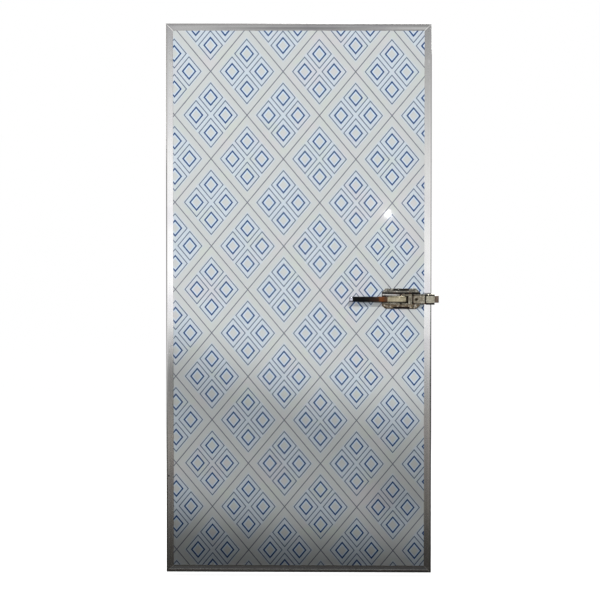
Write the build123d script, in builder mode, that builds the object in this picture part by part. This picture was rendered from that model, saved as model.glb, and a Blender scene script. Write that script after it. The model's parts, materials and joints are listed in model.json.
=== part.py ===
import os
from build123d import *

# Insulated walk-in cooler door: a rebated leaf on two concealed hinges, with a pull-lever latch.
# Millimetres. +Z is up, the front of the leaf faces -Y, and y = 0 is the face of the wall.
# The origin is the middle of the lower hinge's wall plate, on the face that meets the wall.

# Leaf
leaf_width = 890.0
leaf_height = 1845.0
flange_depth = 45.0            # front flange, which laps over the wall
plug_depth = 55.0              # rear plug, which fills the opening
wall_overlap = 45.0            # how far the flange laps past the edge of the opening
plug_clearance = 5.0           # edge of the opening to the plug
wall_gap = 8.0                 # back of the flange to the wall, taken up by the gasket
front_sheet_thickness = 1.0
back_sheet_thickness = 1.0

# Edge trim: a mitred aluminium channel round the flange
trim_wall = 2.0
trim_face = 24.0               # width seen from the front
trim_height = 5.0              # front of the rim to the front sheet
trim_round = 5.5               # outer front edge
trim_rim = 5.0                 # flat strip beside the rounded edge
trim_groove = 1.2              # groove width and depth
trim_lip = 4.0                 # flat lip along the inner edge
trim_lip_thickness = 1.4
trim_back_lip = 26.0           # width on the back of the flange
rim_hole_radius = 2.2
rim_hole_depth = 4.0

# Plug sides: folded strips round the plug
plug_wall = 2.0
plug_back_lip = 14.0

# Seals
gasket_width = 13.0
gasket_height = 7.5
gasket_wall = 1.8
gasket_setback = 1.0           # gasket to the edge of the opening
gasket_end_gap = 0.5
sweep_thickness = 3.5
sweep_reach = 5.0              # below the leaf
sweep_top = 22.0               # above the leaf's lower edge
sweep_end_gap = 8.0
holder_thickness = 2.0
holder_height = 16.0

# Hinges
hinge_from_end = 325.0         # lower hinge from the leaf's lower edge, upper one from its top
wall_plate_width = 24.0
wall_plate_height = 90.0
wall_plate_thickness = 3.0
wall_plate_inset = 3.0         # leaf's hinge edge to the plate
axis_inset = 7.0               # leaf's hinge edge to the pin
axis_stand_off = 16.0          # wall face to the pin
knuckle_radius = 6.0
knuckle_gap = 1.0              # round a knuckle
knuckle_split = 0.4            # between the two knuckles of a hinge
knuckle_web = 6.0
leaf_plate_thickness = 3.0
hinge_pin_radius = 3.0
hinge_pin_head_radius = 5.0
hinge_pin_head = 2.0
running_clearance = 0.05       # radial, on every pin
notch_end_gap = 6.0

# Latch, placed from the leaf's latch edge and lower edge
latch_above_bottom = 924.0
base_inset = 36.0
base_width = 130.0
base_height = 68.0
base_thickness = 7.0
base_left_corner = 12.0
base_right_corner = 16.0
base_bevel = 2.0
base_end_thickness = 2.5       # at the foot of each sloping end
base_end_slope = 19.0
base_groove_length = 54.0
base_groove_width = 6.0
base_groove_depth = 3.0
base_groove_edge = 4.5         # groove's middle to the plate's edge

pivot_inset = 93.5
pivot_stand = 24.0             # base plate to the pivot
pivot_radius = 4.0
pivot_head_radius = 5.5
pivot_head = 2.0

housing_ahead = 29.5           # pivot to the housing's bolt end
housing_behind = 70.0          # pivot to the housing's lever end
housing_height = 34.0
housing_cheek = 4.75
housing_end_wall = 13.0        # collar between the lever's hub and the bolt guide
housing_front = 9.0            # in front of the pivot
housing_crown = 18.0           # length of the flat over the pivot
housing_toe = 12.0             # depth at the lever end
housing_heel = 25.0            # depth at the bolt end
latch_clearance = 0.5          # between parts that slide or swing in the latch

hub_radius = 14.0
grip_length = 117.0
grip_height = 17.8
grip_depth = 13.0
grip_round = 5.0
grip_front = 11.5              # in front of the pivot
tip_length = 12.0
tip_round = 5.0
arm_length = 52.5              # pivot to the grip
arm_knee = 38.0                # pivot to where the arm starts to thin
arm_round = 5.0                # along the arm's edges
heel_radius = 3.0
heel_height = 10.0
heel_play = 1.2

guide_gap = 4.7                # housing to the bolt guide
guide_head_inset = 18.0
guide_reach = 11.0             # past the leaf's latch edge
guide_body_height = 33.5
guide_head_height = 36.0
guide_depth = 31.0
guide_wall = 5.0
guide_round = 3.0
guide_pad_margin = 3.5
guide_pad_rise = 1.2

bolt_reach = 25.0              # past the leaf's latch edge
bolt_length = 74.0
bolt_height = 23.0
bolt_bevel_length = 12.0
bolt_bevel_depth = 13.0
bolt_edge = 2.0
bolt_lift = 1.0                # base plate to the bolt
tail_thickness = 6.0
tail_height = 18.0
tail_behind = 12.0             # past the pivot

# Inside release
rosette_radius = 27.0
rosette_thickness = 5.0
rosette_edge = 2.0
release_rod_radius = 6.0
release_rod_length = 22.0
release_knob_radius = 24.0
release_knob_thickness = 26.0
release_knob_round = 6.0

# Places that follow from the sizes above
leaf_left = -wall_plate_inset - wall_plate_width / 2
leaf_right = leaf_left + leaf_width
leaf_bottom = -hinge_from_end
leaf_top = leaf_bottom + leaf_height
flange_back = -wall_gap
flange_front = flange_back - flange_depth
sheet_front = flange_front + trim_height
plug_back = flange_back + plug_depth
plug_inset = wall_overlap + plug_clearance
plug_left = leaf_left + plug_inset
plug_right = leaf_right - plug_inset
plug_top = leaf_top - plug_inset
plug_bottom = leaf_bottom + trim_back_lip
core_back = flange_back - max(trim_wall, plug_wall)

hinge_heights = {"lower": 0.0, "upper": leaf_height - 2 * hinge_from_end}
axis_x = leaf_left + axis_inset
axis_y = -axis_stand_off
leaf_plate_left = axis_x + knuckle_radius + knuckle_gap
notch_right = leaf_plate_left + leaf_plate_thickness
notch_front = axis_y - knuckle_radius - knuckle_gap - leaf_plate_thickness
notch_height = wall_plate_height + 2 * notch_end_gap

latch_z = leaf_bottom + latch_above_bottom
base_right = leaf_right - base_inset
base_left = base_right - base_width
base_front = sheet_front - base_thickness
pivot_x = leaf_right - pivot_inset
pivot_y = base_front - pivot_stand
housing_right = pivot_x + housing_ahead
housing_left = pivot_x - housing_behind
lever_height = housing_height - 2 * housing_cheek - 2 * latch_clearance
grip_right = pivot_x - arm_length
grip_left = grip_right - grip_length
grip_face = pivot_y - grip_front
tail_middle = base_front - bolt_lift - tail_thickness / 2
guide_left = housing_right + guide_gap
guide_head_left = leaf_right - guide_head_inset
guide_right = leaf_right + guide_reach
guide_face = base_front - guide_depth
bolt_right = leaf_right + bolt_reach
bolt_left = bolt_right - bolt_length
bolt_back = base_front - bolt_lift
bolt_front = guide_face + guide_wall + latch_clearance

os.makedirs("parts", exist_ok=True)


def keep(piece, label):
    piece.part.label = label
    export_step(piece.part, f"parts/{label}.step")


# A box between two corners, added to the part that is being built, or cut from it.
def block(low, high, mode=Mode.ADD):
    middle = tuple((a + b) / 2 for a, b in zip(low, high))
    size = tuple(b - a for a, b in zip(low, high))
    with Locations(middle):
        Box(*size, mode=mode)


# A rectangle between two corners, added to the sketch that is being drawn.
def strip(low, high):
    with Locations(((low[0] + high[0]) / 2, (low[1] + high[1]) / 2)):
        Rectangle(high[0] - low[0], high[1] - low[1])


# A side of a rectangle in the leaf's plane. Walked clockwise from the front, each side has a
# section plane whose x points to the middle of the leaf and whose y points to the back.
def side_plane(side, left, right, bottom, top, y):
    start, inward, along = {
        "hinge": ((left, y, bottom), (1, 0, 0), (0, 0, 1)),
        "top": ((left, y, top), (0, 0, -1), (1, 0, 0)),
        "latch": ((right, y, top), (-1, 0, 0), (0, 0, -1)),
        "bottom": ((right, y, bottom), (0, 0, 1), (-1, 0, 0)),
    }[side]
    length = top - bottom if side in ("hinge", "latch") else right - left
    return Plane(origin=start, x_dir=inward, z_dir=along), length


# Cuts both ends of a bar at 45 degrees through the corners of its rectangle.
def mitre(plane, length):
    split(bisect_by=Plane(plane.origin, z_dir=plane.z_dir - plane.x_dir), keep=Keep.TOP)
    far_corner = plane.origin + plane.z_dir * length
    split(bisect_by=Plane(far_corner, z_dir=-plane.z_dir - plane.x_dir), keep=Keep.TOP)


# Removes everything below a height.
def square_foot(height):
    split(bisect_by=Plane.XY.offset(height), keep=Keep.TOP)


# Room for the concealed hinges in the hinge edge of the flange.
def cut_hinge_notches():
    for height in hinge_heights.values():
        block(
            (leaf_left - 1, notch_front, height - notch_height / 2),
            (notch_right, flange_back + 1, height + notch_height / 2),
            mode=Mode.SUBTRACT,
        )


# Leaf: front sheet, foam core and back sheet
with BuildPart() as front_sheet:
    block(
        (leaf_left + trim_wall, sheet_front, leaf_bottom + trim_wall),
        (leaf_right - trim_wall, sheet_front + front_sheet_thickness, leaf_top - trim_wall),
    )
keep(front_sheet, "front_sheet")

with BuildPart() as foam_core:
    block(
        (leaf_left + trim_wall, sheet_front + front_sheet_thickness, leaf_bottom + trim_wall),
        (leaf_right - trim_wall, core_back, leaf_top - trim_wall),
    )
    block(
        (plug_left + plug_wall, core_back, plug_bottom + plug_wall),
        (plug_right - plug_wall, plug_back - plug_wall - back_sheet_thickness, plug_top - plug_wall),
    )
    cut_hinge_notches()
keep(foam_core, "foam_core")

with BuildPart() as back_sheet:
    block(
        (plug_left + plug_wall, plug_back - plug_wall - back_sheet_thickness, plug_bottom + plug_wall),
        (plug_right - plug_wall, plug_back - plug_wall, plug_top - plug_wall),
    )
keep(back_sheet, "back_sheet")

# Edge trim: rounded outer edge, flat rim, groove, sloping band and inner lip in front,
# and a plain lip behind.
for side in ("hinge", "top", "latch", "bottom"):
    section, length = side_plane(side, leaf_left, leaf_right, leaf_bottom, leaf_top, flange_front)
    rim_end = trim_round + trim_rim
    lip_face = trim_height - trim_lip_thickness
    with BuildPart() as trim:
        with BuildSketch(section):
            with BuildLine():
                Line((0, flange_depth), (0, trim_round))
                CenterArc((trim_round, trim_round), trim_round, 180, 90)
                Polyline(
                    (trim_round, 0),
                    (rim_end, 0),
                    (rim_end, trim_groove),
                    (rim_end + trim_groove, trim_groove),
                    (trim_face - trim_lip, lip_face),
                    (trim_face, lip_face),
                    (trim_face, trim_height),
                    (trim_wall, trim_height),
                    (trim_wall, flange_depth - trim_wall),
                    (trim_back_lip, flange_depth - trim_wall),
                    (trim_back_lip, flange_depth),
                    (0, flange_depth),
                )
            make_face()
        extrude(amount=length)
        mitre(section, length)
        if side == "hinge":
            cut_hinge_notches()
            hole_mouth = Plane(
                origin=(leaf_left + trim_round + trim_rim / 2, flange_front, hinge_heights["lower"]),
                z_dir=(0, -1, 0),
            )
            with BuildSketch(hole_mouth):
                Circle(rim_hole_radius)
            extrude(amount=-rim_hole_depth, mode=Mode.SUBTRACT)
    keep(trim, f"trim_{side}_side" if side in ("hinge", "latch") else f"trim_{side}")

# Plug sides: each strip covers one side of the plug and folds over the edge of the back sheet.
# All but the bottom one also run out along the back of the flange to the trim.
for side in ("hinge", "top", "latch", "bottom"):
    section, length = side_plane(side, plug_left, plug_right, plug_bottom, plug_top, flange_back)
    flange_rim = 0.0 if side == "bottom" else plug_inset - trim_back_lip
    with BuildPart() as plug_side:
        with BuildSketch(section.offset(-flange_rim)):
            strip((0, -plug_wall), (plug_wall, plug_depth))
            strip((0, plug_depth - plug_wall), (plug_back_lip, plug_depth))
            if flange_rim > 0:
                strip((-flange_rim, -plug_wall), (plug_wall, 0))
        extrude(amount=length + 2 * flange_rim)
        mitre(section, length)
        if side in ("hinge", "latch"):
            square_foot(plug_bottom)
    keep(plug_side, f"plug_side_{side}")

# Hollow gasket on three sides of the flange, and a sweep along the bottom
for side in ("hinge", "top", "latch"):
    section, length = side_plane(side, leaf_left, leaf_right, leaf_bottom, leaf_top, flange_back)
    gasket_middle = (wall_overlap - gasket_setback - gasket_width / 2, gasket_height / 2)
    with BuildPart() as gasket:
        with BuildSketch(section):
            with Locations(gasket_middle):
                RectangleRounded(gasket_width, gasket_height, gasket_height / 4)
                RectangleRounded(
                    gasket_width - 2 * gasket_wall,
                    gasket_height - 2 * gasket_wall,
                    gasket_height / 8,
                    mode=Mode.SUBTRACT,
                )
        extrude(amount=length)
        mitre(section, length)
        if side != "top":
            square_foot(leaf_bottom + trim_back_lip + gasket_end_gap)
    keep(gasket, f"gasket_{side}")

with BuildPart() as bottom_sweep:
    block(
        (leaf_left + sweep_end_gap, flange_back, leaf_bottom - sweep_reach),
        (leaf_right - sweep_end_gap, flange_back + sweep_thickness, leaf_bottom + sweep_top),
    )
    tip_edges = bottom_sweep.edges().filter_by(Axis.X).group_by(Axis.Z)[0]
    fillet(tip_edges, radius=sweep_thickness / 3)
keep(bottom_sweep, "bottom_sweep")

with BuildPart() as sweep_holder:
    holder_front = flange_back + sweep_thickness
    block(
        (leaf_left + sweep_end_gap, holder_front, leaf_bottom + sweep_top - holder_height),
        (leaf_right - sweep_end_gap, holder_front + holder_thickness, leaf_bottom + sweep_top),
    )
    back_edges = sweep_holder.edges().filter_by(Axis.X).group_by(Axis.Y)[-1]
    chamfer(back_edges, length=holder_thickness / 3)
keep(sweep_holder, "sweep_holder")

# Concealed hinges: the wall plate carries the lower knuckle, the leaf's angle plate the upper one.
for place, height in hinge_heights.items():
    half = wall_plate_height / 2
    plate_left = -wall_plate_width / 2
    with BuildPart() as wall_plate:
        block(
            (plate_left, -wall_plate_thickness, height - half),
            (plate_left + wall_plate_width, 0, height + half),
        )
        with BuildSketch(Plane.XY.offset(height - half)):
            with Locations((axis_x, axis_y)):
                Circle(knuckle_radius)
            with Locations((axis_x, (axis_y - wall_plate_thickness) / 2)):
                Rectangle(knuckle_web, axis_stand_off - wall_plate_thickness)
        extrude(amount=half - knuckle_split / 2)
        with BuildSketch(Plane.XY.offset(height - half)):
            with Locations((axis_x, axis_y)):
                Circle(hinge_pin_radius + running_clearance)
        extrude(amount=half, mode=Mode.SUBTRACT)
    keep(wall_plate, f"{place}_wall_plate")

    with BuildPart() as leaf_plate:
        block(
            (leaf_plate_left, notch_front, height - half),
            (notch_right, flange_back - trim_wall, height + half),
        )
        block(
            (leaf_left + trim_wall, notch_front, height - half),
            (notch_right, notch_front + leaf_plate_thickness, height + half),
        )
        with BuildSketch(Plane.XY.offset(height + knuckle_split / 2)):
            with Locations((axis_x, axis_y)):
                Circle(knuckle_radius)
            with Locations(((axis_x + leaf_plate_left) / 2, axis_y)):
                Rectangle(leaf_plate_left - axis_x, knuckle_web)
        extrude(amount=half - knuckle_split / 2)
        with BuildSketch(Plane.XY.offset(height)):
            with Locations((axis_x, axis_y)):
                Circle(hinge_pin_radius + running_clearance)
        extrude(amount=half, mode=Mode.SUBTRACT)
    keep(leaf_plate, f"{place}_leaf_plate")

    with BuildPart() as hinge_pin:
        pin_top = height + half + knuckle_split
        with BuildSketch(Plane.XY.offset(height - half)):
            with Locations((axis_x, axis_y)):
                Circle(hinge_pin_radius)
        extrude(amount=wall_plate_height + knuckle_split)
        with BuildSketch(Plane.XY.offset(pin_top)):
            with Locations((axis_x, axis_y)):
                Circle(hinge_pin_head_radius)
        extrude(amount=hinge_pin_head)
        chamfer(hinge_pin.faces().sort_by(Axis.Z)[-1].edges(), length=hinge_pin_head / 3)
    keep(hinge_pin, f"{place}_hinge_pin")

# Latch base plate: a long octagon with a bevelled edge, sloping ends and a groove along top and bottom
with BuildPart() as latch_base_plate:
    half = base_height / 2
    plate_seat = Plane(origin=(0, sheet_front, latch_z), x_dir=(1, 0, 0), z_dir=(0, -1, 0))
    plate_face = plate_seat.offset(base_thickness)
    with BuildSketch(plate_seat):
        with BuildLine():
            Polyline(
                (base_left, half - base_left_corner),
                (base_left + base_left_corner, half),
                (base_right - base_right_corner, half),
                (base_right, half - base_right_corner),
                (base_right, base_right_corner - half),
                (base_right - base_right_corner, -half),
                (base_left + base_left_corner, -half),
                (base_left, base_left_corner - half),
                (base_left, half - base_left_corner),
            )
        make_face()
    extrude(amount=base_thickness)
    chamfer(latch_base_plate.faces().sort_by(Axis.Y)[0].edges(), length=base_bevel)
    end_front = sheet_front - base_end_thickness
    with BuildSketch(Plane.XY.offset(latch_z - half)):
        for end, inward in ((base_left, base_end_slope), (base_right, -base_end_slope)):
            with BuildLine():
                Polyline(
                    (end, end_front),
                    (end + inward, base_front),
                    (end, base_front),
                    (end, end_front),
                )
            make_face()
    extrude(amount=base_height, mode=Mode.SUBTRACT)
    groove_x = (base_left + base_right) / 2
    groove_z = half - base_groove_edge
    with BuildSketch(plate_face):
        with Locations((groove_x, groove_z), (groove_x, -groove_z)):
            SlotOverall(base_groove_length, base_groove_width)
    extrude(amount=-base_groove_depth, mode=Mode.SUBTRACT)
keep(latch_base_plate, "latch_base_plate")

# Latch housing: two cheeks that carry the pivot pin, joined by a wall at the bolt end
with BuildPart() as latch_housing:
    crown = pivot_stand + housing_front
    with BuildSketch(Plane.XY.offset(latch_z - housing_height / 2)):
        with BuildLine():
            Polyline(
                (housing_left, base_front),
                (housing_left, base_front - housing_toe),
                (pivot_x - housing_crown / 2, base_front - crown),
                (pivot_x + housing_crown / 2, base_front - crown),
                (housing_right, base_front - housing_heel),
                (housing_right, base_front),
                (housing_left, base_front),
            )
        make_face()
    extrude(amount=housing_height)
    fillet(latch_housing.edges().filter_by(Axis.Z).group_by(Axis.Y)[0], radius=housing_front / 2)
    inner_half = housing_height / 2 - housing_cheek
    block(
        (housing_left - 1, base_front - crown - 1, latch_z - inner_half),
        (housing_right - housing_end_wall, base_front, latch_z + inner_half),
        mode=Mode.SUBTRACT,
    )
    tail_half = tail_height / 2 + latch_clearance
    block(
        (
            housing_right - housing_end_wall,
            base_front - bolt_lift - tail_thickness - latch_clearance,
            latch_z - tail_half,
        ),
        (housing_right, base_front, latch_z + tail_half),
        mode=Mode.SUBTRACT,
    )
    with BuildSketch(Plane.XY.offset(latch_z - housing_height / 2)):
        with Locations((pivot_x, pivot_y)):
            Circle(pivot_radius + running_clearance)
    extrude(amount=housing_height, mode=Mode.SUBTRACT)
keep(latch_housing, "latch_housing")

with BuildPart() as latch_pivot_pin:
    pin_half = housing_height / 2 + pivot_head
    with BuildSketch(Plane.XY.offset(latch_z - pin_half)):
        with Locations((pivot_x, pivot_y)):
            Circle(pivot_radius)
    extrude(amount=2 * pin_half)
    with BuildSketch(Plane.XY.offset(latch_z - pin_half), Plane.XY.offset(latch_z + pin_half - pivot_head)):
        with Locations((pivot_x, pivot_y)):
            Circle(pivot_head_radius)
    extrude(amount=pivot_head)
    chamfer(latch_pivot_pin.faces().sort_by(Axis.Z)[-1].edges(), length=pivot_head / 3)
    chamfer(latch_pivot_pin.faces().sort_by(Axis.Z)[0].edges(), length=pivot_head / 3)
keep(latch_pivot_pin, "latch_pivot_pin")

# Lever: the arm turns on the pivot pin, and its heel draws the bolt back by the tail.
with BuildPart() as lever_arm:
    with BuildSketch(Plane.XY.offset(latch_z - lever_height / 2)):
        with BuildLine():
            Polyline(
                (grip_right, grip_face),
                (pivot_x, pivot_y - hub_radius),
                (pivot_x, pivot_y + hub_radius),
                (pivot_x - arm_knee, pivot_y + hub_radius / 2),
                (grip_right, grip_face + grip_depth),
                (grip_right, grip_face),
            )
        make_face()
        with Locations((pivot_x, pivot_y)):
            Circle(hub_radius)
    extrude(amount=lever_height)
    fillet(lever_arm.faces().sort_by(Axis.Z)[-1].edges(), radius=arm_round)
    fillet(lever_arm.faces().sort_by(Axis.Z)[0].edges(), radius=arm_round)
    with BuildSketch(Plane.XY.offset(latch_z - heel_height / 2)):
        with Locations((pivot_x, tail_middle)):
            Circle(heel_radius)
        with Locations((pivot_x, (pivot_y + tail_middle) / 2)):
            Rectangle(2 * heel_radius, tail_middle - pivot_y)
    extrude(amount=heel_height)
    with BuildSketch(Plane.XY.offset(latch_z - lever_height / 2)):
        with Locations((pivot_x, pivot_y)):
            Circle(pivot_radius + running_clearance)
    extrude(amount=lever_height, mode=Mode.SUBTRACT)
keep(lever_arm, "lever_arm")

grip_middle_y = grip_face + grip_depth / 2
grip_section = Plane(origin=(grip_right, grip_middle_y, latch_z), x_dir=(0, 1, 0), z_dir=(-1, 0, 0))
with BuildPart() as lever_grip:
    with BuildSketch(grip_section):
        RectangleRounded(grip_depth, grip_height, grip_round)
    extrude(amount=grip_length)
keep(lever_grip, "lever_grip")

with BuildPart() as lever_tip:
    with BuildSketch(grip_section.offset(grip_length)):
        RectangleRounded(grip_depth, grip_height, grip_round)
    extrude(amount=tip_length)
    fillet(lever_tip.faces().sort_by(Axis.X)[0].edges(), radius=tip_round)
keep(lever_tip, "lever_tip")

# Bolt guide: a cover open to the leaf, with a raised pad and a heavier head past the leaf's edge
with BuildPart() as bolt_guide:
    body_half = guide_body_height / 2
    head_half = guide_head_height / 2
    for near, far, half in (
        (guide_left, guide_head_left, body_half),
        (guide_head_left, guide_right, head_half),
    ):
        with BuildSketch(Plane(origin=(near, 0, latch_z), x_dir=(0, 1, 0), z_dir=(1, 0, 0))) as cover:
            strip((guide_face, -half), (base_front, half))
            fillet(cover.vertices().group_by(Axis.X)[0], radius=guide_round)
        extrude(amount=far - near)
    pad_half = body_half - guide_pad_margin
    block(
        (guide_left + guide_pad_margin, guide_face - guide_pad_rise, latch_z - pad_half),
        (guide_head_left - guide_pad_margin, guide_face, latch_z + pad_half),
    )
    channel_half = bolt_height / 2 + latch_clearance
    block(
        (guide_left, guide_face + guide_wall, latch_z - channel_half),
        (guide_right, base_front, latch_z + channel_half),
        mode=Mode.SUBTRACT,
    )
keep(bolt_guide, "bolt_guide")

# Bolt: a bevelled nose, and a tail under the lever's hub with a slot for the heel
with BuildPart() as latch_bolt:
    with BuildSketch(Plane.XY.offset(latch_z - bolt_height / 2)):
        with BuildLine():
            Polyline(
                (bolt_left, bolt_back),
                (bolt_left, bolt_front),
                (bolt_right, bolt_front),
                (bolt_right, bolt_back - bolt_bevel_depth),
                (bolt_right - bolt_bevel_length, bolt_back),
                (bolt_left, bolt_back),
            )
        make_face()
    extrude(amount=bolt_height)
    fillet(latch_bolt.faces().sort_by(Axis.X)[-1].edges(), radius=bolt_edge)
    tail_left = pivot_x - tail_behind
    block(
        (tail_left, bolt_back - tail_thickness, latch_z - tail_height / 2),
        (bolt_left, bolt_back, latch_z + tail_height / 2),
    )
    slot_half = heel_radius + heel_play
    slot_height = heel_height + 2 * latch_clearance
    block(
        (pivot_x - slot_half, bolt_back - tail_thickness, latch_z - slot_height / 2),
        (pivot_x + slot_half, bolt_back, latch_z + slot_height / 2),
        mode=Mode.SUBTRACT,
    )
keep(latch_bolt, "latch_bolt")

# Inside release: a rosette on the back sheet, and a knob on its push rod
release_seat = Plane(origin=(pivot_x, plug_back - plug_wall, latch_z), z_dir=(0, 1, 0))
with BuildPart() as release_rosette:
    with BuildSketch(release_seat):
        Circle(rosette_radius)
        Circle(release_rod_radius + running_clearance, mode=Mode.SUBTRACT)
    extrude(amount=rosette_thickness)
    outer_edge = release_rosette.edges().filter_by(GeomType.CIRCLE).group_by(Axis.Y)[-1].sort_by(SortBy.RADIUS)
    chamfer(outer_edge[-1], length=rosette_edge)
keep(release_rosette, "release_rosette")

with BuildPart() as release_knob:
    with BuildSketch(release_seat):
        Circle(release_rod_radius)
    extrude(amount=rosette_thickness + release_rod_length)
    with BuildSketch(release_seat.offset(rosette_thickness + release_rod_length)):
        Circle(release_knob_radius)
    extrude(amount=release_knob_thickness)
    fillet(release_knob.faces().sort_by(Axis.Y)[-1].edges(), radius=release_knob_round)
keep(release_knob, "release_knob")
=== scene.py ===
import json
import math

import bpy
import numpy as np
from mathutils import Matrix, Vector


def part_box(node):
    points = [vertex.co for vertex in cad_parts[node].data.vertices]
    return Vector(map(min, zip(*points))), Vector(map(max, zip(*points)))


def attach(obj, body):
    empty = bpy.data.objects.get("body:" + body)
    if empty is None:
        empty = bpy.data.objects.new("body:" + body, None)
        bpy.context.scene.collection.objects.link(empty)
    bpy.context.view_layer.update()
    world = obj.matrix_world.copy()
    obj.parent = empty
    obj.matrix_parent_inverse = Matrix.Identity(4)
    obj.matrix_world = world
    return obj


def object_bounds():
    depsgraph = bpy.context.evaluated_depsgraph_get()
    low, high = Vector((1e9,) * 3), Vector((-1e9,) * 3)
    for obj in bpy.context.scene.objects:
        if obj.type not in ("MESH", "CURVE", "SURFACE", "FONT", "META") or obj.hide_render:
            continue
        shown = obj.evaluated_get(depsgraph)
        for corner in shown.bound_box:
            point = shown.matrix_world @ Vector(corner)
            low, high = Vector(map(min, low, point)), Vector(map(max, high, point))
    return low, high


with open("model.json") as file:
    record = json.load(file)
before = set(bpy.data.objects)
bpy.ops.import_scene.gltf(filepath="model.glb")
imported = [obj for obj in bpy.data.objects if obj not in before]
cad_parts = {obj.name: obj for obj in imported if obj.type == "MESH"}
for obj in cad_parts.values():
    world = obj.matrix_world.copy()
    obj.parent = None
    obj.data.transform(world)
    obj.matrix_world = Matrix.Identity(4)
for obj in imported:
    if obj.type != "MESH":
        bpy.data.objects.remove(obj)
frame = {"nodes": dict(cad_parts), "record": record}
cadLow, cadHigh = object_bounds()
nodes = frame["nodes"]
print("frame loaded:", len(nodes), "nodes")

scene = bpy.context.scene
scene.view_settings.view_transform = "Standard"


# colour as it reads on a screen, 0 to 255, turned into the linear values that sockets take
def tone(red, green, blue):
    channels = np.array([red, green, blue]) / 255
    linear = np.where(channels <= 0.04045, channels / 12.92, ((channels + 0.055) / 1.055) ** 2.4)
    return (*linear.tolist(), 1.0)


def grey(level):
    return (level, level, level, 1)


# node helpers: each adds a node and gives back the socket or node that the next one needs
def addNode(tree, kind, **sockets):
    made = tree.nodes.new(kind)
    for name, value in sockets.items():
        setSocket(tree, made.inputs[name.replace("_", " ")], value)
    return made


def setSocket(tree, socket, value):
    if isinstance(value, bpy.types.NodeSocket):
        tree.links.new(value, socket)
    else:
        socket.default_value = value


def calc(tree, operation, first, second=0.0):
    made = tree.nodes.new("ShaderNodeMath")
    made.operation = operation
    setSocket(tree, made.inputs[0], first)
    setSocket(tree, made.inputs[1], second)
    return made.outputs[0]


def plus(tree, first, second):
    return calc(tree, "ADD", first, second)


def minus(tree, first, second):
    return calc(tree, "SUBTRACT", first, second)


def times(tree, first, second):
    return calc(tree, "MULTIPLY", first, second)


def apart(tree, first, second):
    return calc(tree, "ABSOLUTE", minus(tree, first, second))


# 0 where value is at low or under, 1 at high or over, smooth between. Low may be the larger of the two.
def rise(tree, value, low, high):
    made = addNode(tree, "ShaderNodeMapRange", Value=value, From_Min=low, From_Max=high)
    made.interpolation_type = "SMOOTHSTEP"
    return made.outputs["Result"]


# low where value is 0, high where it is 1, straight between
def between(tree, value, low, high):
    return addNode(tree, "ShaderNodeMapRange", Value=value, To_Min=low, To_Max=high).outputs["Result"]


# level at a value, straight between stops of (value, level)
def levelAt(tree, value, stops):
    low, high = stops[0][0], stops[-1][0]
    share = calc(tree, "DIVIDE", minus(tree, value, low), high - low)
    ramp = addNode(tree, "ShaderNodeValToRGB", Fac=share)
    marks = ramp.color_ramp.elements
    while len(marks) < len(stops):
        marks.new(0.5)
    for mark, (place, level) in zip(marks, stops):
        mark.position = (place - low) / (high - low)
        mark.color = grey(level)
    return ramp.outputs[0]


def blendColour(tree, factor, first, second):
    made = tree.nodes.new("ShaderNodeMix")
    made.data_type = "RGBA"
    setSocket(tree, made.inputs[0], factor)
    setSocket(tree, made.inputs[6], first)
    setSocket(tree, made.inputs[7], second)
    return made.outputs[2]


def objectPoint(tree):
    return addNode(tree, "ShaderNodeTexCoord").outputs["Object"]


def pointParts(tree):
    return addNode(tree, "ShaderNodeSeparateXYZ", Vector=objectPoint(tree)).outputs


# noise on the piece's own coordinates, stretched by one scale a direction
def noise(tree, scale, detail=3.0, stretch=(1, 1, 1)):
    mapped = addNode(tree, "ShaderNodeMapping", Vector=objectPoint(tree), Scale=stretch)
    made = addNode(tree, "ShaderNodeTexNoise", Vector=mapped.outputs[0], Scale=scale, Detail=detail)
    return made.outputs[0]


# 0 to 1 in patches: where the noise rises through a range
def patches(tree, scale, detail, low, high, stretch=(1, 1, 1)):
    return rise(tree, noise(tree, scale, detail, stretch), low, high)


def bump(tree, height, strength, distance):
    made = addNode(tree, "ShaderNodeBump", Height=height, Strength=strength, Distance=distance)
    return made.outputs[0]


def newMaterial(name):
    material = bpy.data.materials.new(name)
    material.use_nodes = True
    tree = material.node_tree
    surface = next(n for n in tree.nodes if n.type == "BSDF_PRINCIPLED")
    return material, tree, surface


def finishSurface(tree, surface, **sockets):
    for name, value in sockets.items():
        setSocket(tree, surface.inputs[name.replace("_", " ")], value)


def middle(node):
    low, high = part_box(node)
    return (low + high) / 2


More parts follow.
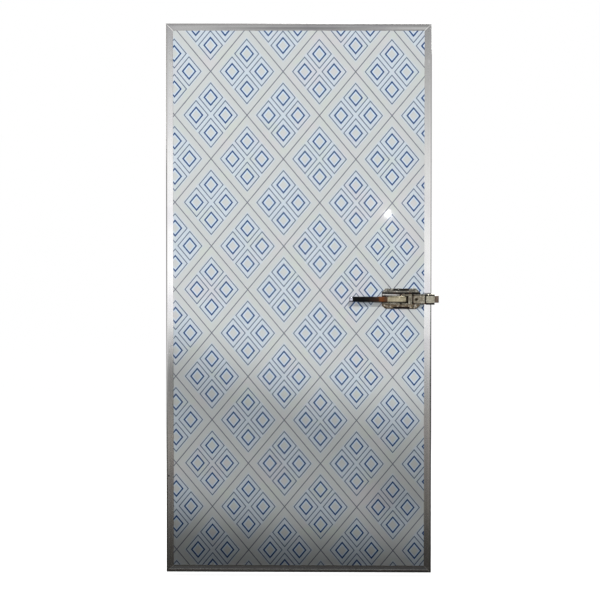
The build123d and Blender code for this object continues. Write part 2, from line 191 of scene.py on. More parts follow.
# Printed film on the front sheet: a lattice of large diamonds, each with four double-lined small ones.
# In diagonal coordinates s = x/a + z/b and t = x/a - z/b, folded to one diamond, every outline is
# a line of equal largest distance from a centre.
film = {
    "halfWidth": 0.12138,         # of a large diamond
    "halfHeight": 0.14629,
    "centreX": 0.1375,            # of one large diamond
    "centreZ": 1.2130,
    "skew": (0.0031, 0.0024),     # of the film as it was laid, per metre up and per metre across
    "skewAbout": (0.433, 0.590),
    "smallCentre": 0.405,         # share of the way from a large diamond's middle to its side
    "boldAt": 0.177,              # from a small centre, in the same measure
    "thinAt": 0.331,
    "boldLine": 0.0047,           # widths
    "thinLine": 0.0030,
    "latticeLine": 0.0031,
    "lineEdge": (1.25, 0.75),     # in half widths, from clear to full
    "ground": tone(200, 204, 204),
    "tint": tone(200, 210, 219),  # bluer among the small diamonds
    "tintPast": (0.12, 0.20),     # from a small centre outwards, and from a large one
    "tintWithin": (0.82, 0.74),
    "halo": tone(205, 221, 237),  # bluest just inside the bold lines
    "haloStart": (0.09, 0.15),
    "haloEnd": (0.20, 0.165),
    "warm": tone(207, 202, 206),
    "green": tone(200, 208, 199),
    "warmPatches": dict(scale=9.0, detail=3.0, low=0.5, high=0.72),
    "greenPatches": dict(scale=13.0, detail=2.0, low=0.52, high=0.72, stretch=(1, 1.7, 1)),
    "patchShare": 0.5,            # of full colour
    "bold": tone(0, 62, 118),
    "thin": tone(76, 93, 122),
    "lattice": tone(108, 111, 124),
    "roughness": (0.26, 0.36),
    "cloudScale": 14.0,           # of the roughness
    "ripple": dict(scale=5.0, detail=2.0, stretch=(1, 1, 0.35)),
    "rippleDepth": (0.10, 0.004),
}


def filmMaterial():
    material, tree, surface = newMaterial("printedFilm")
    x, _, z = pointParts(tree)
    skewX, skewZ = film["skew"]
    aboutX, aboutZ = film["skewAbout"]
    laidX = plus(tree, x, times(tree, minus(tree, z, aboutZ), skewX))
    laidZ = plus(tree, z, times(tree, minus(tree, x, aboutX), skewZ))
    across = calc(tree, "DIVIDE", minus(tree, laidX, film["centreX"]), film["halfWidth"])
    up = calc(tree, "DIVIDE", minus(tree, laidZ, film["centreZ"]), film["halfHeight"])
    s = calc(tree, "PINGPONG", plus(tree, across, up), 1.0)
    t = calc(tree, "PINGPONG", minus(tree, across, up), 1.0)
    edge = calc(tree, "MAXIMUM", s, t)
    small = film["smallCentre"]
    fromCentre = calc(tree, "MAXIMUM", apart(tree, s, small), apart(tree, t, small))
    unit = 1 / math.hypot(1 / film["halfWidth"], 1 / film["halfHeight"])    # metres for a step of 1 in s

    def line(value, at, width):
        clear, full = film["lineEdge"]
        half = width / 2 / unit
        return rise(tree, apart(tree, value, at), half * clear, half * full)

    tint = times(tree, rise(tree, fromCentre, *film["tintPast"]), rise(tree, edge, *film["tintWithin"]))
    halo = times(tree, rise(tree, fromCentre, *film["haloStart"]), rise(tree, fromCentre, *film["haloEnd"]))
    warm = times(tree, patches(tree, **film["warmPatches"]), film["patchShare"])
    green = times(tree, patches(tree, **film["greenPatches"]), film["patchShare"])
    layers = [
        (tint, "tint"), (warm, "warm"), (green, "green"), (halo, "halo"),
        (line(edge, 1.0, film["latticeLine"]), "lattice"),
        (line(fromCentre, film["thinAt"], film["thinLine"]), "thin"),
        (line(fromCentre, film["boldAt"], film["boldLine"]), "bold"),
    ]
    colour = film["ground"]
    for mask, name in layers:
        colour = blendColour(tree, mask, colour, film[name])
    finishSurface(
        tree, surface,
        Base_Color=colour,
        Roughness=between(tree, noise(tree, film["cloudScale"]), *film["roughness"]),
        Specular_IOR_Level=0.3,
        Coat_Weight=0.3,
        Coat_Roughness=0.09,
        Normal=bump(tree, noise(tree, **film["ripple"]), *film["rippleDepth"]),
    )
    return material


# Satin aluminium edge trim: fine lines along the bar, hazy patches, and a filed seam at each mitre
trim = {
    "colour": tone(205, 205, 204),
    "haze": tone(190, 189, 192),
    "hazeScale": 4.0,
    "hazeRise": (0.45, 0.7),          # of the noise, from none to full
    "lineScale": 900.0,
    "lineStretch": 0.004,             # share of that scale, along the bar
    "lineRise": (0.4, 0.8),
    "lineShare": 0.3,
    "lineDepth": (0.03, 0.0004),
    "seam": tone(250, 250, 248),
    "seamWidth": 0.0024,
    "seamReach": 0.027,               # in from the leaf's corner
    "wearAndEdgeShade": tone(160, 159, 157),      # painted shade on the outer edge, and its darker painted shade below the latch
    "lowEdgeShade": tone(98, 97, 95),
    "edgeShadeWidth": 0.0045,
    "edgeShadeDepth": (0.0058, 0.0045),    # behind the front, from none to full painted shade
    "lowEdgeShadeFade": 0.01,                # above and below the latch's middle
    "lowEdgeShadeReach": 0.05,               # to the right of it
    # painted shade that fills the rim hole
    "holeShade": tone(10, 9, 8),
    "holeInset": 0.008,               # of the rim hole on the hinge side, at the height of the lower hinge
    "holeRadius": 0.0030,
    "holeRoughness": 0.6,
    "roughness": (0.09, 0.13),
}


def trimMaterial(name, upright):
    material, tree, surface = newMaterial(name)
    stretch = (1, 1, trim["lineStretch"]) if upright else (trim["lineStretch"], 1, 1)
    lines = noise(tree, trim["lineScale"], 1.0, stretch)
    haze = noise(tree, trim["hazeScale"], 4.0)
    low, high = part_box("trim_hinge_side")[0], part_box("trim_latch_side")[1]
    x, y, z = pointParts(tree)
    inX = calc(tree, "MINIMUM", minus(tree, x, low.x), minus(tree, high.x, x))
    inZ = calc(tree, "MINIMUM", minus(tree, z, low.z), minus(tree, high.z, z))
    seam = times(
        tree,
        rise(tree, apart(tree, inX, inZ), trim["seamWidth"], trim["seamWidth"] * 0.5),
        rise(tree, calc(tree, "MAXIMUM", inX, inZ), trim["seamReach"], trim["seamReach"] * 0.9),
    )
    colour = blendColour(tree, rise(tree, haze, *trim["hazeRise"]), trim["colour"], trim["haze"])
    inLine = times(tree, rise(tree, lines, *trim["lineRise"]), trim["lineShare"])
    colour = blendColour(tree, inLine, colour, trim["haze"])
    colour = blendColour(tree, seam, colour, trim["seam"])
    # painted shade along the trim's outer edge, darker on the latch side below the latch's middle
    atEdge = rise(tree, calc(tree, "MINIMUM", inX, inZ), trim["edgeShadeWidth"], trim["edgeShadeWidth"] * 0.6)
    wearAndEdgeShade = times(tree, atEdge, rise(tree, minus(tree, y, low.y), *trim["edgeShadeDepth"]))
    latch = middle("latch_base_plate")
    belowLatchShade = times(
        tree,
        rise(tree, z, latch.z + trim["lowEdgeShadeFade"], latch.z - trim["lowEdgeShadeFade"]),
        rise(tree, x, latch.x, latch.x + trim["lowEdgeShadeReach"]),
    )
    colour = blendColour(tree, wearAndEdgeShade, colour, blendColour(tree, belowLatchShade, trim["wearAndEdgeShade"], trim["lowEdgeShade"]))
    # painted shade: the rim hole is coloured dark, matt and not metallic
    holeX = minus(tree, x, low.x + trim["holeInset"])
    fromHole = calc(tree, "SQRT", plus(tree, times(tree, holeX, holeX), times(tree, z, z)))
    holeShade = rise(tree, fromHole, trim["holeRadius"] * 1.1, trim["holeRadius"] * 0.9)
    roughness = between(tree, haze, *trim["roughness"])
    finishSurface(
        tree, surface,
        Base_Color=blendColour(tree, holeShade, colour, trim["holeShade"]),
        Metallic=minus(tree, 1.0, holeShade),
        Specular_IOR_Level=0.0,
        Roughness=calc(tree, "MAXIMUM", roughness, times(tree, holeShade, trim["holeRoughness"])),
        Normal=bump(tree, lines, *trim["lineDepth"]),
    )
    return material


# Plain finishes: two tones that cloud into each other, a roughness range, and a grain's scale and strength
finishes = {
    "foam": dict(
        light=tone(226, 208, 160), dark=tone(202, 180, 128), cloud=60, rough=(0.8, 0.95), grain=(900, 0.5),
    ),
    "back_sheet": dict(
        light=tone(226, 228, 228), dark=tone(214, 217, 218), cloud=3, rough=(0.32, 0.44), grain=(260, 0.08),
    ),
    "plug_plastic": dict(
        light=tone(212, 214, 214), dark=tone(198, 201, 202), cloud=7, rough=(0.42, 0.55), grain=(700, 0.12),
    ),
    "seal_rubber": dict(
        light=tone(48, 48, 50), dark=tone(30, 30, 32), cloud=25, rough=(0.6, 0.8), grain=(1200, 0.25),
    ),
    "hinge_steel": dict(
        light=tone(190, 192, 196), dark=tone(150, 152, 150), cloud=70, rough=(0.28, 0.45),
        grain=(1500, 0.1), metal=1.0,
    ),
    "latch_chrome": dict(
        light=tone(122, 119, 110), dark=tone(100, 96, 87), cloud=22, rough=(0.16, 0.28),
        grain=(420, 0.05), metal=1.0,
    ),
    "tip_chrome": dict(
        light=tone(176, 178, 190), dark=tone(150, 152, 164), cloud=90, rough=(0.1, 0.2),
        grain=(900, 0.03), metal=0.9,
    ),
    "bolt_steel": dict(
        light=tone(124, 110, 98), dark=tone(98, 82, 70), cloud=120, rough=(0.3, 0.5),
        grain=(1400, 0.15), metal=0.6,
    ),
    "release_plastic": dict(
        light=tone(40, 150, 84), dark=tone(24, 118, 62), cloud=40, rough=(0.25, 0.38), grain=(800, 0.08),
    ),
    "screw_zinc": dict(
        light=tone(176, 172, 160), dark=tone(112, 106, 94), cloud=400, rough=(0.25, 0.4),
        grain=(2500, 0.08), metal=0.9,
    ),
    "screw_dark": dict(
        light=tone(84, 74, 58), dark=tone(36, 30, 22), cloud=500, rough=(0.3, 0.5),
        grain=(2500, 0.1), metal=0.8,
    ),
}
grainHeight = 0.0003
cloudRise = (0.3, 0.74)    # of the noise, from light to dark


def clouded(tree, cloud, light, dark):
    return blendColour(tree, rise(tree, cloud, *cloudRise), light, dark)


def grained(tree, kind):
    scale, strength = kind["grain"]
    return bump(tree, noise(tree, scale, 2.0), strength, grainHeight)


def plainMaterial(name):
    kind = finishes[name]
    material, tree, surface = newMaterial(name)
    cloud = noise(tree, kind["cloud"], 4.0)
    finishSurface(
        tree, surface,
        Base_Color=clouded(tree, cloud, kind["light"], kind["dark"]),
        Metallic=kind.get("metal", 0.0),
        Roughness=between(tree, cloud, *kind["rough"]),
        Normal=grained(tree, kind),
    )
    return material


# Latch castings: worn chrome with bright and dark flecks, paler where one mask of the part says so (on the
# housing a painted highlight), and dark, matt and partly rusty where another does (painted shade, dark
# spots)
darkRustAndFlecks = {
    "dark": tone(11, 9, 7),
    "rust": tone(74, 40, 20),
    "rustPatches": dict(scale=90.0, detail=4.0, low=0.58, high=0.68),
    "roughness": 0.7,
    "bright": tone(210, 207, 196),
    "fleckScale": 150,
    "brightFlecks": (0.55, 0.64),    # of the noise, from none to full
    "darkFlecks": (0.45, 0.36),
}


def castMaterial(name, light, dark, flecked, paleMask=None, pale=None, darkMask=None):
    kind = finishes["latch_chrome"]
    material, tree, surface = newMaterial(name)
    cloud = noise(tree, kind["cloud"], 4.0)
    colour = clouded(tree, cloud, light, dark)
    if paleMask:
        colour = blendColour(tree, paleMask(tree), colour, pale)
    flecks = noise(tree, darkRustAndFlecks["fleckScale"], 2.0)
    for shade in ("bright", "dark"):
        fleck = times(tree, rise(tree, flecks, *darkRustAndFlecks[shade + "Flecks"]), flecked)
        colour = blendColour(tree, fleck, colour, darkRustAndFlecks[shade])
    # where the mask says, painted shade or a dark spot: dark and matt, with patches of rust
    inDark = darkMask(tree) if darkMask else 0.0
    shadeAndRust = blendColour(tree, patches(tree, **darkRustAndFlecks["rustPatches"]), darkRustAndFlecks["dark"], darkRustAndFlecks["rust"])
    roughness = between(tree, cloud, *kind["rough"])
    finishSurface(
        tree, surface,
        Base_Color=blendColour(tree, inDark, colour, shadeAndRust),
        Metallic=minus(tree, kind["metal"], inDark),
        Roughness=calc(tree, "MAXIMUM", roughness, times(tree, inDark, darkRustAndFlecks["roughness"])),
        Normal=grained(tree, kind),
    )
    return material


def aboveLatchMiddle(tree):
    return minus(tree, pointParts(tree)[2], middle("latch_base_plate").z)


def offLatchMiddle(tree):
    return calc(tree, "ABSOLUTE", aboveLatchMiddle(tree))


def halfHeight(node):
    low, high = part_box(node)
    return (high.z - low.z) / 2


# Base plate: painted shade in its sunk grooves and in the corners along the housing, with patches of rust,
# and a browner lower wing
plateMarks = {
    "corner": (0.00286, 0.00132),       # past the housing's sides, from none to full painted shade
    "upperCorner": (0.00552, 0.00368),
    "groove": (0.020, 0.024),           # off the middle line
    "grooveHalf": (0.0290, 0.0265),     # of its length
    "sunk": (0.0004, 0.0012),           # under the plate's face
    "wing": (-0.014, -0.020),           # height over the middle line
    "wingShare": 0.6,
}


def plateShade(tree):
    side = halfHeight("latch_housing")
    above = aboveLatchMiddle(tree)
    off = offLatchMiddle(tree)
    upper = rise(tree, minus(tree, above, side), *plateMarks["upperCorner"])
    upper = times(tree, upper, rise(tree, above, 0.0, 0.001))    # upper half only
    corner = calc(tree, "MAXIMUM", upper, rise(tree, minus(tree, off, side), *plateMarks["corner"]))
    x, y, _ = pointParts(tree)
    sunk = rise(tree, minus(tree, y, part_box("latch_base_plate")[0].y), *plateMarks["sunk"])
    inLength = rise(tree, apart(tree, x, middle("latch_base_plate").x), *plateMarks["grooveHalf"])
    groove = times(tree, times(tree, rise(tree, off, *plateMarks["groove"]), sunk), inLength)
    return calc(tree, "MAXIMUM", corner, groove)


def plateWing(tree):
    return times(tree, rise(tree, aboveLatchMiddle(tree), *plateMarks["wing"]), plateMarks["wingShare"])


# Housing: a painted highlight on the upper cheek near the lever, and each cheek has a dark spot over the
# lever's heel
housingMarks = {
    "cheek": (0.008, 0.012),        # height over the middle line
    "highlightSpan": (0.72, 0.35),         # share of the length, from dull to bright
    "spotAt": 0.62,                 # share of the length
    "spotHalf": (0.0042, 0.0028),
    "spotOff": (-0.0050, -0.0040),  # past the housing's sides
}


# a dark, matt spot on each cheek over the lever's heel
def housingDarkSpots(tree):
    low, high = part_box("latch_housing")
    spotX = low.x + housingMarks["spotAt"] * (high.x - low.x)
    nearSpot = rise(tree, apart(tree, pointParts(tree)[0], spotX), *housingMarks["spotHalf"])
    fromSide = minus(tree, offLatchMiddle(tree), halfHeight("latch_housing"))
    return times(tree, rise(tree, fromSide, *housingMarks["spotOff"]), nearSpot)


# painted highlight on the top of the upper cheek, fading away from the lever
def housingCheekHighlight(tree):
    low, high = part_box("latch_housing")
    share = calc(tree, "DIVIDE", minus(tree, pointParts(tree)[0], low.x), high.x - low.x)
    onCheek = rise(tree, aboveLatchMiddle(tree), *housingMarks["cheek"])
    return times(tree, onCheek, rise(tree, share, *housingMarks["highlightSpan"]))


# Bolt guide: its heavier head is paler, and painted shade lies in the step where the head starts and round
# the pad's foot
guideMarks = {
    "head": (-0.017, -0.014),       # past the leaf's latch-side edge
    "headSeam": -0.0195,
    "padInset": 0.0045,             # from the guide's sides
    "padDepth": (0.0002, 0.0008),   # behind the guide's front, from none to full painted shade
    "lastDepth": (0.0040, 0.0030),
    "line": (0.0024, 0.0016),
}


def pastLatchEdge(tree):
    return minus(tree, pointParts(tree)[0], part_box("trim_latch_side")[1].x)


def guideStepShade(tree):
    depth = minus(tree, pointParts(tree)[1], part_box("bolt_guide")[0].y)
    behindPad = rise(tree, depth, *guideMarks["padDepth"])
    inDepth = times(tree, behindPad, rise(tree, depth, *guideMarks["lastDepth"]))
    offSeam = apart(tree, pastLatchEdge(tree), guideMarks["headSeam"])
    offPad = apart(tree, offLatchMiddle(tree), halfHeight("bolt_guide") - guideMarks["padInset"])
    return times(tree, inDepth, rise(tree, calc(tree, "MINIMUM", offSeam, offPad), *guideMarks["line"]))


def guideHead(tree):
    return rise(tree, pastLatchEdge(tree), *guideMarks["head"])


# Lever bar: near-black polish, then orange rust and a brown root where it goes into the arm
lever = {
    "black": tone(6, 6, 7),
    "wearAndEdgeShade": tone(22, 21, 20),
    "rust": tone(106, 62, 34),
    "rustBrown": tone(82, 60, 44),
    "stainStart": 0.075,            # from the root, towards the tip
    "rustStart": 0.034,
    "rustEnd": 0.012,
    "rustFade": 0.008,              # length over which each of those two fades
    "stainShare": 0.35,
    "wearPatches": dict(scale=60.0, detail=4.0, low=0.5, high=0.75),
    "pitScale": 140.0,
    "pitDepth": (0.15, 0.0006),
    "ragged": 0.016,                # how far the pits move the edges of stain and rust
    "roughness": (0.16, 0.55),      # of the polish and of the rust
}


def leverMaterial():
    material, tree, surface = newMaterial("leverBlack")
    fromRoot = minus(tree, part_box("lever_grip")[1].x, pointParts(tree)[0])
    pits = noise(tree, lever["pitScale"], 5.0)
    ragged = plus(tree, fromRoot, times(tree, minus(tree, pits, 0.5), lever["ragged"]))
    start, end, fade = lever["rustStart"], lever["rustEnd"], lever["rustFade"]
    stain = times(tree, rise(tree, ragged, lever["stainStart"], start), lever["stainShare"])
    brown = rise(tree, ragged, start, start - fade)
    orange = times(tree, brown, rise(tree, ragged, end - fade / 2, end + fade / 2))
    colour = blendColour(tree, patches(tree, **lever["wearPatches"]), lever["black"], lever["wearAndEdgeShade"])
    colour = blendColour(tree, stain, colour, lever["rustBrown"])
    colour = blendColour(tree, brown, colour, lever["rustBrown"])
    colour = blendColour(tree, orange, colour, lever["rust"])
    finishSurface(
        tree, surface,
        Base_Color=colour,
        Metallic=0.0,
        Roughness=between(tree, brown, *lever["roughness"]),
        Specular_IOR_Level=0.05,
        Coat_Weight=0.02,
        Coat_Roughness=0.08,
        Normal=bump(tree, pits, *lever["pitDepth"]),
    )
    return material


materials = {name: plainMaterial(name) for name in finishes}
materials["printed_film"] = filmMaterial()
materials["lever_chrome"] = leverMaterial()
castings = {
    "latch_base_plate": castMaterial(
        "latchPlate", tone(120, 118, 111), tone(92, 88, 79), flecked=0.5,
        paleMask=plateWing, pale=tone(112, 92, 65), darkMask=plateShade,
    ),
    "latch_housing": castMaterial(
        "latchHousing", tone(122, 117, 104), tone(98, 92, 80), flecked=0.3,
        paleMask=housingCheekHighlight, pale=tone(176, 174, 172), darkMask=housingDarkSpots,
    ),
    "lever_arm": castMaterial("latchArm", tone(168, 160, 136), tone(144, 136, 114), flecked=0.1),
    "bolt_guide": castMaterial(
        "latchGuide", tone(138, 131, 117), tone(118, 111, 97), flecked=0.3,
        paleMask=guideHead, pale=tone(160, 156, 141), darkMask=guideStepShade,
    ),
}
stileMetal = trimMaterial("trimAlongZ", upright=True)
materials["trim_aluminium"] = trimMaterial("trimAlongX", upright=False)
ownMaterial = {"trim_hinge_side": stileMetal, "trim_latch_side": stileMetal, **castings}
print("materials made:", len(materials) + len(castings) + 1)

slotOf = {row["node"]: row["material_slot"] for row in frame["record"]["subparts"]}
for name, piece in nodes.items():
    piece.data.materials.clear()
    piece.data.materials.append(ownMaterial.get(name, materials[slotOf[name]]))

# soft edges on the latch castings, the bolt and the wall plates, from the merged corners of their solids
softEdges = {
    "latch_base_plate": 0.0008, "latch_housing": 0.0010, "bolt_guide": 0.0009,
    "lever_arm": 0.0008, "latch_bolt": 0.0006, "lower_wall_plate": 0.0005, "upper_wall_plate": 0.0005,
}
for name, width in softEdges.items():
    weld = nodes[name].modifiers.new("mergeCorners", "WELD")
    weld.merge_threshold = 0.00001
    edge = nodes[name].modifiers.new("softEdge", "BEVEL")
    edge.width = width
    edge.segments = 2
    edge.limit_method = "ANGLE"
    edge.angle_limit = math.radians(35)
    edge.harden_normals = True
print("CAD nodes dressed")


# One piece from grids of points, shape (grids, rows, columns, 3): each cell of a grid is a quad.
# Where it is closed, the last column joins the first.
def gridPiece(name, points, closed=False):
    points = np.asarray(points, float)
    index = np.arange(points.size // 3).reshape(points.shape[:3])
    start = index if closed else index[:, :, :-1]
    following = np.roll(index, -1, axis=2) if closed else index[:, :, 1:]
    quads = np.stack([start[:, :-1], following[:, :-1], following[:, 1:], start[:, 1:]], axis=-1)
    mesh = bpy.data.meshes.new(name)
    mesh.from_pydata(points.reshape(-1, 3).tolist(), [], quads.reshape(-1, 4).tolist())
    mesh.validate()
    mesh.shade_smooth()
    piece = bpy.data.objects.new(name, mesh)
    scene.collection.objects.link(piece)
    return piece


# Screws: size of the head, half the width of its cross recess, finish, slot and places
screws = {
    "latch_base_screws": dict(
        radius=0.0036, height=0.0016, halfCross=0.0007, finish="screw_zinc", slot="latch_chrome",
        endInset=0.0235, edgeInset=0.0085,
    ),
    "bolt_guide_screw": dict(
        radius=0.0052, height=0.0024, halfCross=0.0011, finish="screw_dark", slot="bolt_steel",
        startInset=0.0095,
    ),
    "hinge_screws": dict(
        radius=0.0036, height=0.0014, halfCross=0.0007, finish="screw_zinc", slot="hinge_steel",
        offMiddle=0.032, across=0.0055, plateThickness=0.003,
    ),
    "rosette_screws": dict(
        radius=0.0026, height=0.0012, halfCross=0.0006, finish="screw_zinc", slot="latch_chrome",
        offMiddle=0.0205,
    ),
    "sweep_screws": dict(
        radius=0.0034, height=0.0016, halfCross=0.0007, finish="screw_zinc", slot="hinge_steel",
        count=7, endInset=0.06,
    ),
}
headShape = {
    "rings": 15,
    "turns": 48,
    "crowding": 0.8,       # of the rings towards the rim
    "rim": 0.35,           # share of the height
    "crossReach": 0.66,    # share of the radius
    "crossDepth": 0.55,    # share of the height
    "crossFlank": 0.3,     # share of half the cross
    "foot": 0.0002,        # under the face that it sits on
}
front, back = (0, -1, 0), (0, 1, 0)


# Screw head, on radius r and turn: a dome of height h(1 - (r/R)^2)^0.5 over a short rim, less a
# cross recess that is deep where the point lies within half its width of either cross line.
def screwHeads(name, places, facing, body):
    facts = screws[name]
    radius, height, halfCross = facts["radius"], facts["height"], facts["halfCross"]
    spread = np.linspace(1.0, 0.0, headShape["rings"]) ** headShape["crowding"]
    angle = np.linspace(0, 2 * np.pi, headShape["turns"], endpoint=False)
    share, turn = np.meshgrid(spread, angle, indexing="ij")
    offSide, offUp = radius * share * np.cos(turn), radius * share * np.sin(turn)
    dome = np.sqrt(np.clip(1 - share ** 2, 0, 1))
    level = height * (headShape["rim"] + (1 - headShape["rim"]) * dome)
    nearCross = np.minimum(np.abs(offSide), np.abs(offUp))
    inCross = np.clip((halfCross - nearCross) / (headShape["crossFlank"] * halfCross), 0, 1)
    level = level - headShape["crossDepth"] * height * inCross * (share < headShape["crossReach"])
    level = np.concatenate([np.full_like(level[:1], -headShape["foot"]), level])
    offSide = np.concatenate([offSide[:1], offSide])
    offUp = np.concatenate([offUp[:1], offUp])
    normal = np.array(facing, float)
    side = np.cross([0, 0, 1], normal)
    up = np.cross(normal, side)
    head = offSide[..., None] * side + offUp[..., None] * up + level[..., None] * normal
    piece = gridPiece(name, head + np.array(places)[:, None, None, :], closed=True)
    piece.data.materials.append(materials[facts["finish"]])
    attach(piece, body)


facts = screws["latch_base_screws"]
low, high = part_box("latch_base_plate")
places = [
    (x, low.y, z)
    for x in (low.x + facts["endInset"], high.x - facts["endInset"])
    for z in (low.z + facts["edgeInset"], high.z - facts["edgeInset"])
]
screwHeads("latch_base_screws", places, front, "leaf")

facts = screws["bolt_guide_screw"]
low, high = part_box("bolt_guide")
places = [(low.x + facts["startInset"], low.y, (low.z + high.z) / 2)]
screwHeads("bolt_guide_screw", places, front, "leaf")

facts = screws["hinge_screws"]
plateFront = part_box("lower_wall_plate")[1].y - facts["plateThickness"]
places = [
    (facts["across"], plateFront, middle(plate).z + side * facts["offMiddle"])
    for plate in ("lower_wall_plate", "upper_wall_plate")
    for side in (-1, 1)
]
screwHeads("hinge_screws", places, front, "wall_hinges")

facts = screws["rosette_screws"]
centre, rosetteFace = middle("release_rosette"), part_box("release_rosette")[1].y
places = [(centre.x, rosetteFace, centre.z + side * facts["offMiddle"]) for side in (-1, 1)]
screwHeads("rosette_screws", places, back, "leaf")

facts = screws["sweep_screws"]
low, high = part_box("sweep_holder")
acrossHolder = np.linspace(low.x + facts["endInset"], high.x - facts["endInset"], facts["count"])
places = [(x, high.y, (low.z + high.z) / 2) for x in acrossHolder]
screwHeads("sweep_screws", places, back, "leaf")
print("screws made")


# 1 for the rays that show the background: from the camera, from a gloss and through glass
def seenDirectly(tree):
    rays = addNode(tree, "ShaderNodeLightPath").outputs
    seen = calc(tree, "MAXIMUM", rays["Is Camera Ray"], rays["Is Glossy Ray"])
    return calc(tree, "MAXIMUM", seen, rays["Is Transmission Ray"])


# the shader in place of the plain surface that a new material starts with
def showInstead(tree, surface, shader):
    result = next(n for n in tree.nodes if n.type == "OUTPUT_MATERIAL")
    tree.links.new(shader.outputs[0], result.inputs["Surface"])
    tree.nodes.remove(surface)


def onlyReflected(piece):
    piece.visible_camera = False
    piece.visible_shadow = False
    piece.visible_diffuse = False
    piece.visible_transmission = False


# Stage: a pale floor that keeps the shadow, under a white surrounding that gives little light
stage = {
    "floorDrop": 0.006,
    "floorReach": 40.0,
    "floorTone": 0.5,
    "ambient": 0.14,
}
floorHeight = cadLow.z - stage["floorDrop"]
leafMiddle = middle("front_sheet")


def paleFloor():
    ends = (-stage["floorReach"], stage["floorReach"])
    floor = gridPiece("floor", [[[(x, y, floorHeight) for x in ends] for y in ends]])
    material, tree, surface = newMaterial("paleFloor")
    diffuse = addNode(tree, "ShaderNodeBsdfDiffuse", Color=grey(stage["floorTone"]))
    lift = times(tree, seenDirectly(tree), 1 - stage["floorTone"] * stage["ambient"])
    glow = addNode(tree, "ShaderNodeEmission", Strength=lift)
    both = tree.nodes.new("ShaderNodeAddShader")
    tree.links.new(diffuse.outputs[0], both.inputs[0])
    tree.links.new(glow.outputs[0], both.inputs[1])
    showInstead(tree, surface, both)
    floor.data.materials.append(material)


def paleWorld():
    scene.world = bpy.data.worlds.new("paleRoom")
    scene.world.use_nodes = True
    tree = scene.world.node_tree
    sky = next(n for n in tree.nodes if n.type == "BACKGROUND")
    sky.inputs["Color"].default_value = grey(1)
    strength = between(tree, seenDirectly(tree), stage["ambient"], 1.0)
    tree.links.new(strength, sky.inputs["Strength"])


# Dim room, which only reflections see: a profile of floor and wall, carried round the front on an arc.
# In front a slanting band of windows glows on the wall. Beside that it is dim, and its ends are grey.
room = {
    "radius": 6.0,
    "innerRadius": 0.01,
    "height": 9.0,
    "lift": 0.004,               # over the floor of the stage
    "turn": 150,                 # degrees to each side of the front
    "columns": 47,
    "skirting": (0.05, 0.02),    # heights from wall to floor
    # band by height and how bright, as the left and the right stile show it
    "wallLeft": [
        (0.0, 0.14), (0.076, 0.16), (0.14, 0.42), (0.21, 1.16), (0.28, 1.75), (0.345, 1.98), (0.48, 1.84),
        (0.65, 1.78), (0.82, 1.66), (1.0, 1.56), (1.21, 1.26), (1.44, 0.94), (1.55, 0.80), (1.62, 0.62),
        (1.85, 0.55), (2.10, 0.20), (2.5, 0.08), (3.6, 0.04), (7.0, 0.035),
    ],
    "wallRight": [
        (0.0, 0.30), (0.06, 0.30), (0.16, 0.36), (0.24, 0.60), (0.33, 1.04), (0.40, 1.34), (0.46, 1.50),
        (0.55, 1.56), (0.73, 1.49), (0.93, 1.36), (1.07, 1.26), (1.25, 1.10), (1.40, 0.92), (1.55, 0.72),
        (1.72, 0.62), (1.85, 0.50), (2.10, 0.20), (2.5, 0.08), (3.6, 0.04), (7.0, 0.035),
    ],
    "wallSpan": (-0.35, 0.84),   # from all left to all right
    "slant": 0.21,               # fall of the band per metre to the right
    "slantAbout": 0.48,
    "slantWithin": (1.3, 0.9),   # of that place, to each side
    "farLeft": (-1.0, -2.5),     # where the stiles' sloping bands look
    "farRight": (1.5, 3.0),
    "farShift": (0.075, -0.15),  # of the band there, on the left and on the right
    "sides": 0.09,               # how bright the room is beside the front, and past that
    "ends": 0.5,
    "sidesFrom": (-3.0, -0.6),   # by depth
    "endsFrom": (-1.2, 0.12),
    # floor by distance and how bright
    "ground": [
        (0.0, 0.045), (0.87, 0.07), (1.62, 0.12), (2.43, 0.21), (3.33, 0.25), (4.3, 0.37), (6.0, 0.40),
    ],
    "groundTone": (1.06, 0.99, 0.90, 1),
}


def dimRoom():
    turn = np.radians(np.linspace(-room["turn"], room["turn"], room["columns"]))
    away = np.array([[room["innerRadius"]], [room["radius"]], [room["radius"]]])
    height = np.array([[room["lift"]], [room["lift"]], [room["height"]]])
    arc = [leafMiddle.x + away * np.sin(turn), -away * np.cos(turn), floorHeight + height + 0 * turn]
    piece = gridPiece("dimRoom", [np.stack(arc, axis=-1)])
    material, tree, surface = newMaterial("dimRoom")
    x, y, z = pointParts(tree)
    above = minus(tree, z, floorHeight)
    aside = minus(tree, x, room["slantAbout"])
    inSlant = rise(tree, calc(tree, "ABSOLUTE", aside), *room["slantWithin"])
    aslant = times(tree, times(tree, aside, room["slant"]), inSlant)
    farLeft = rise(tree, x, *room["farLeft"])
    farRight = rise(tree, x, *room["farRight"])
    shiftLeft, shiftRight = room["farShift"]
    shift = plus(tree, times(tree, farLeft, shiftLeft), times(tree, farRight, shiftRight))
    bandHeight = plus(tree, plus(tree, above, aslant), shift)
    left = levelAt(tree, bandHeight, room["wallLeft"])
    right = levelAt(tree, bandHeight, room["wallRight"])
    # each stile's sloping band reflects the far side, so the far sides are swapped
    toRight = times(tree, rise(tree, x, *room["wallSpan"]), minus(tree, 1.0, farRight))
    wall = blendColour(tree, calc(tree, "MAXIMUM", toRight, farLeft), left, right)
    wall = blendColour(tree, rise(tree, y, *room["sidesFrom"]), wall, grey(room["sides"]))
    wall = blendColour(tree, rise(tree, y, *room["endsFrom"]), wall, grey(room["ends"]))
    ground = levelAt(tree, minus(tree, 0.0, y), room["ground"])
    ground = blendColour(tree, ground, grey(0), room["groundTone"])
    level = blendColour(tree, rise(tree, above, *room["skirting"]), wall, ground)
    showInstead(tree, surface, addNode(tree, "ShaderNodeEmission", Color=level))
    piece.data.materials.append(material)
    onlyReflected(piece)


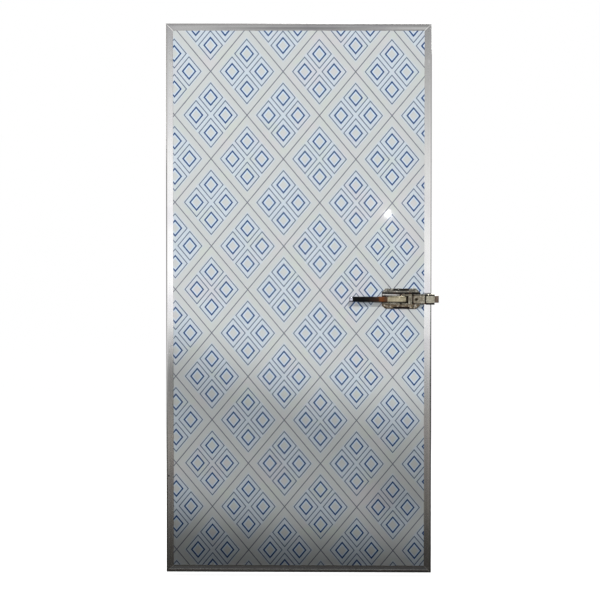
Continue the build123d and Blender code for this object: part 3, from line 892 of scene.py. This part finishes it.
# Card under the top rail, which only its sloping band reflects: it lies along the view of the camera
card = {
    "away": (0.10, 0.30),        # in front of the rail
    "drop": 0.115,
    "tilt": 4.0,                 # degrees
    "middle": 0.42,              # how bright
    "ends": 0.78,
    "endsFrom": (0.05, 0.45),    # off the middle
}


def topCard():
    low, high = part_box("trim_top")
    fall = math.tan(math.radians(card["tilt"]))
    corners = [
        [(x, low.y - away, high.z - card["drop"] - away * fall) for x in (low.x, high.x)]
        for away in card["away"]
    ]
    piece = gridPiece("topCard", [corners])
    material, tree, surface = newMaterial("topCard")
    offMiddle = apart(tree, pointParts(tree)[0], leafMiddle.x)
    level = between(tree, rise(tree, offMiddle, *card["endsFrom"]), card["middle"], card["ends"])
    showInstead(tree, surface, addNode(tree, "ShaderNodeEmission", Strength=level))
    piece.data.materials.append(material)
    onlyReflected(piece)


# Flags: cards that shade. One thins the fill on the lower right. The other keeps the spark off the top
# rail and shows grey in it.
flags = {
    "fillFlag": dict(place=(-1.306, -2.58, 0.616), across=(0.771, -0.637, 0), wide=0.030, tall=0.090),
    "sparkFlag": dict(place=(0.50, -0.40, 1.93), across=(1, 0, 0), wide=1.6, tall=0.52, glow=0.85),
}


def addFlag(name):
    facts = flags[name]
    half = Vector(facts["across"]) * facts["wide"] / 2
    up = Vector((0, 0, facts["tall"] / 2))
    corners = [[Vector(facts["place"]) + side * half + end * up for side in (-1, 1)] for end in (-1, 1)]
    piece = gridPiece(name, [corners])
    material, tree, surface = newMaterial(name)
    showInstead(tree, surface, addNode(tree, "ShaderNodeEmission", Strength=facts.get("glow", 0.0)))
    piece.data.materials.append(material)
    piece.visible_camera = False
    piece.visible_glossy = "glow" in facts
    piece.visible_diffuse = False
    piece.visible_transmission = False


# Lamps: an upper key and a lower fill in front, which the metal doesn't reflect, wide lamps for the back
# and the side, and two small ones that only a gloss shows
lamps = {
    "key": dict(
        kind="SPOT", place=(1.046, -3.9, 2.4), aim=(1.046, 0, 2.427), watts=364,
        cone=62, blend=0.10, soft=0.095,
    ),
    "fill": dict(
        kind="SPOT", place=(-3.4, -5.113, 1.3), aim=(0.342, 0, 2.8), watts=832,
        cone=54.74, blend=0.12, soft=0.097,
    ),
    "behind": dict(kind="AREA", place=(1.4, 3.2, 2.4), aim=(0.43, 0, 0.5), wide=2.4, tall=2.4, watts=112),
    "side": dict(kind="AREA", place=(-3.4, 1.4, 1.8), aim=(0.43, 0, 0.6), wide=1.8, tall=1.8, watts=50),
    "catch": dict(kind="POINT", place=(0.7235, -0.548, 0.856), soft=0.011, watts=0.62),
    "spark": dict(kind="POINT", place=(0.70, -0.75, 2.30), soft=0.06, watts=40.0),
}


def addLamp(name):
    facts = lamps[name]
    data = bpy.data.lights.new(name, facts["kind"])
    data.energy = facts["watts"]
    lamp = bpy.data.objects.new(name, data)
    lamp.location = facts["place"]
    if "aim" in facts:
        towards = Vector(facts["aim"]) - Vector(facts["place"])
        lamp.rotation_euler = towards.to_track_quat("-Z", "Y").to_euler()
    if "wide" in facts:
        data.shape = "RECTANGLE"
        data.size = facts["wide"]
        data.size_y = facts["tall"]
    if "soft" in facts:
        data.shadow_soft_size = facts["soft"]
    if "cone" in facts:
        data.spot_size = math.radians(facts["cone"])
        data.spot_blend = facts["blend"]
    lamp.visible_camera = False
    lamp.visible_glossy = facts["kind"] != "SPOT"
    lamp.visible_diffuse = facts["kind"] != "POINT"
    scene.collection.objects.link(lamp)


paleFloor()
dimRoom()
topCard()
paleWorld()
for name in flags:
    addFlag(name)
for name in lamps:
    addLamp(name)
print("stage and lamps set")

# Camera: a long lens nearly straight in front, a little above the middle
view = {
    "lens": 300.0,
    "sensor": 36.0,
    "place": (0.947, -16.776, 1.749),
    "pitch": -3.949,             # degrees
    "turn": 1.755,
    "clipEnd": 200,
}
cameraData = bpy.data.cameras.new("photoView")
cameraData.lens = view["lens"]
cameraData.sensor_width = view["sensor"]
cameraData.clip_end = view["clipEnd"]
camera = bpy.data.objects.new("photoView", cameraData)
camera.location = view["place"]
camera.rotation_euler = (math.radians(90 + view["pitch"]), 0, math.radians(view["turn"]))
scene.collection.objects.link(camera)
scene.camera = camera
